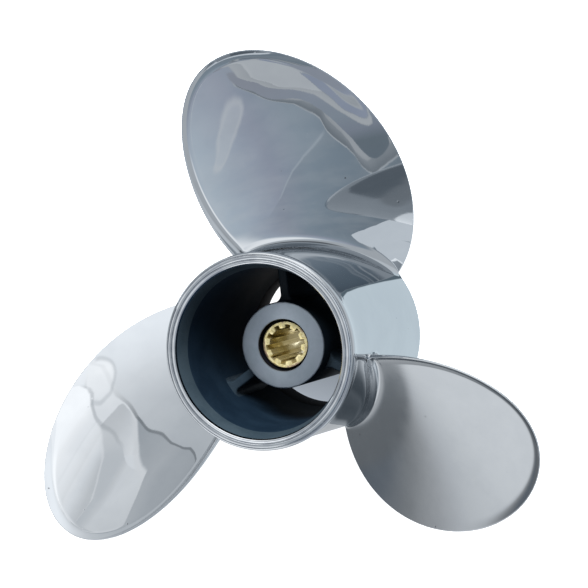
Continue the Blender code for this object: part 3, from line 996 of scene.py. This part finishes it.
second = grey(0.57, 0.09)
root_tones = tones(az_w, [(-34, 0.19, 0.24), (-28, 0.225, 0.24), (-20, 0.265, 0.22), (-10, 0.34, 0.2),
    (0, 0.43, 0.16), (6, 0.9, 0.06)])
root_lines = tones(line(el_w, 1, az_w, -0.02), [(4, 0, 0), (5.6, 0.1, 0), (6, 0.75, 0), (6.6, 0, 0),
    (7.6, 0.05, 0), (7.9, 0.5, 0), (8.3, 0.05, 0), (9.3, 0.3, 0), (9.6, 0, 0), (12, 0, 0)])
root_tones = paint(root_tones, (root_lines, grey(0.7, 0.06)))
LOBE_TOP = [(-23.2, -20.6), (-22.2, -20), (-17.8, -20.6), (-9.5, -23.8), (0, -23.8), (20, -30)]
LOBE_LOW = [(-23.2, -21.7), (-20, -25.3), (-14.1, -29.3), (0, -38), (20, -46)]
SLATE_TOP = [(-9, -22.8), (1, -22.7), (10, -22.7), (21, -18), (31, -8), (40, -5), (50, 0), (60, 4), (80, 8)]
SLATE_LOW = [(-9.2, -23.3), (-6.8, -26.2), (-1, -29.7), (6.3, -33.6), (12.1, -36.7), (19.1, -38.3),
    (80, -60)]
LOW_TONES = [(-156, 0.6, 0.06), (-148, 0.45, 0.07), (-143, 0.155, 0.14), (-128, 0.13, 0.16),
    (-118, 0.16, 0.14), (-112, 0.2, 0.12), (-106, 0.13, 0.16), (-96, 0.17, 0.14), (-90, 0.3, 0.1),
    (-84, 0.5, 0.06), (-78, 0.75, 0.05), (-68, 1.2, 0.03), (-60, 1.2, 0.03)]
second = paint(second,
    (times(step(el, 1, 5), step(az, -38, -34), step(az, 40, 20)), root_tones),
    (band(LOBE_TOP, LOBE_LOW, -23.2), grey(0.42, 0.09)),
    (band(SLATE_TOP, SLATE_LOW, -9.2), grey(0.285, 0.14)),
    (times(above(-59.6, line(el, 1, az, 1.25), 0.3), between(az, -62, -33, 0.6)), grey(1.5, 0.03)),
    (times(step(az, -59, -63), step(az, -175, -165), step(el, -50, -40), step(el, 8, 0)),
        tones(az_w, LOW_TONES)),
    (step(el, 30, 45), room),
    (step(az, 84, 92), room))
count("studio with its second room", studio)

# %% [markdown]
# The Light Path node counts the mirrors, so the second room is used only from the second one
# on. The camera itself sees plain white above the floor's far edge.

# %% Which room a ray sees
light_path = studio.nodes.new("ShaderNodeLightPath").outputs
room = paint(room,
    (step(light_path["Glossy Depth"], 1.4, 1.6, kind="LINEAR"), second),
    (light_path["Is Camera Ray"], (1, 1, 1)))
join(studio, room, studio.nodes["Background"].inputs["Color"])
count("finished studio", studio)

# %% [markdown]
# One big soft lamp stands above the top of the photograph. It reaches down into the barrel and
# lights the lower wall of the bore, which is why that wall is brighter than the upper one. It
# is kept out of reflections, so it lights only the dull metal, the rubber and the floor.

# %% Soft lamp
lamp = bpy.data.lights.new("soft_top", "AREA")
lamp.shape, lamp.size, lamp.energy = "DISK", 0.7, 70.0
lamp_object = place_object("soft_top", lamp)
lamp_object.location = (-0.08, 0.95, 1.15)
lamp_object.rotation_euler = (radians(-40.0), 0.0, 0.0)
lamp_object.visible_glossy = False
lamp_object.visible_camera = False
print("lamp of", round(lamp.energy), "W,", round(lamp.size, 2), "m across")

# %% [markdown]
# The camera stands where the photograph was taken from: aft of the propeller, a little above it
# and to its right. The place and the lens were solved from the lip, the hub and the blade tips.

# %% Camera
CAMERA_PLACE, CAMERA_TURN = (0.37847, 0.20142, 1.26527), (-4.3287, 18.7584, 12.0766)
SENSOR_MM, LENS_MM = 36.0, 183.67
camera_data = bpy.data.cameras.new("camera")
camera_data.sensor_width, camera_data.lens, camera_data.clip_start = SENSOR_MM, LENS_MM, 0.01
camera = place_object("camera", camera_data)
camera.location = CAMERA_PLACE
camera.rotation_euler = [radians(angle) for angle in CAMERA_TURN]
bpy.context.scene.camera = camera
bpy.context.scene.view_settings.view_transform = "Standard"
print("camera at", [round(c, 3) for c in camera.location])
